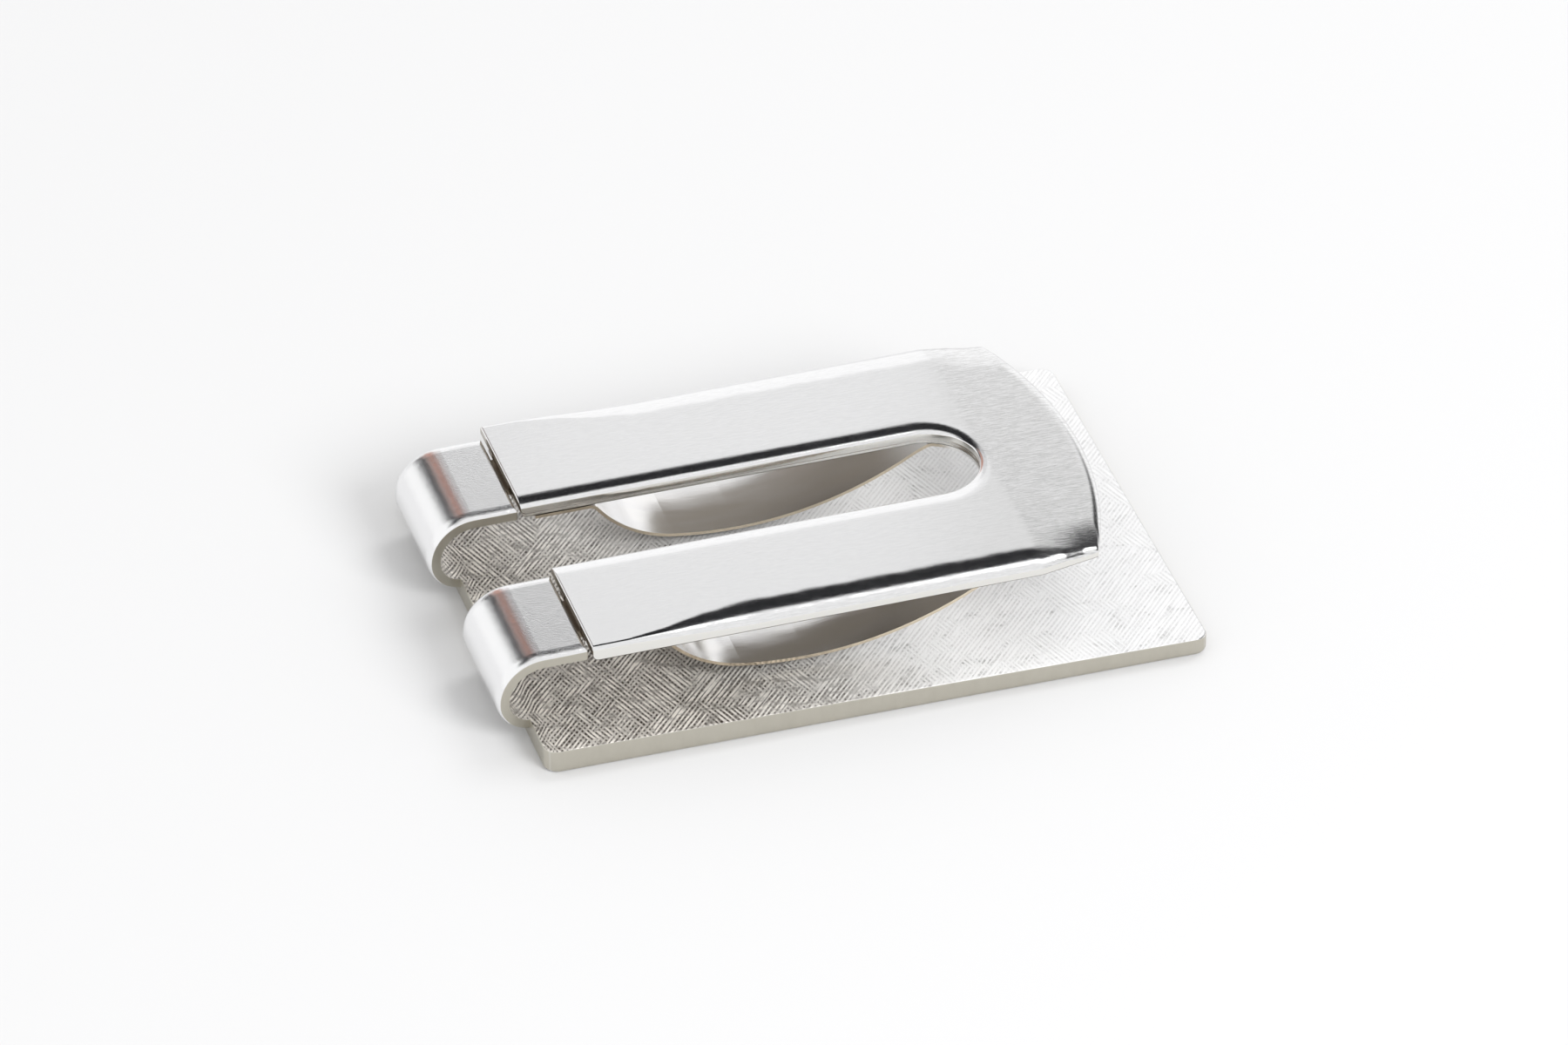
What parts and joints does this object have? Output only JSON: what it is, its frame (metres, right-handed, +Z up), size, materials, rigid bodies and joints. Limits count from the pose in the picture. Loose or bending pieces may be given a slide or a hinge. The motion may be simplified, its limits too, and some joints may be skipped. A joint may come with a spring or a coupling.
{
  "type": "money clip",
  "caption": "Hinged money clip: flat plate with curled tongues, horseshoe clamp arm pinned to them, and a bowed U-shaped leaf spring.",
  "frame": {"origin": "on the plate's resting face, under the middle of the flat plate", "axes": "+X from the hinge end to the free end, +Y across the clip, +Z up through the plate to the clamp arm"},
  "size_m": [0.0532, 0.037, 0.0082],
  "materials": {
    "scratch_brushed_steel": "stainless steel, plate face and curls cross-scratched, edges smooth",
    "satin_steel": "stainless steel, satin with fine lengthwise grain, rolled edges polished",
    "polished_spring_steel": "polished spring steel sheet",
    "pin_steel": "plain turned stainless steel"
  },
  "bodies": {
    "base": {"base_plate": "scratch_brushed_steel"},
    "arm": {"clamp_arm": "satin_steel", "leaf_spring": "polished_spring_steel", "hinge_pin_front": "pin_steel", "hinge_pin_back": "pin_steel", "spring_rivet_front": "pin_steel", "spring_rivet_back": "pin_steel"}
  },
  "joints": [
    {"name": "arm_hinge", "type": "hinge", "parent": "base", "child": "arm", "pos_m": [-0.02025, 0, 0.007], "axis": [0, -1, 0], "range_deg": [0, 30], "stiffness_Nm_per_rad": 0.02, "springref_deg": -17.19}
  ]
}
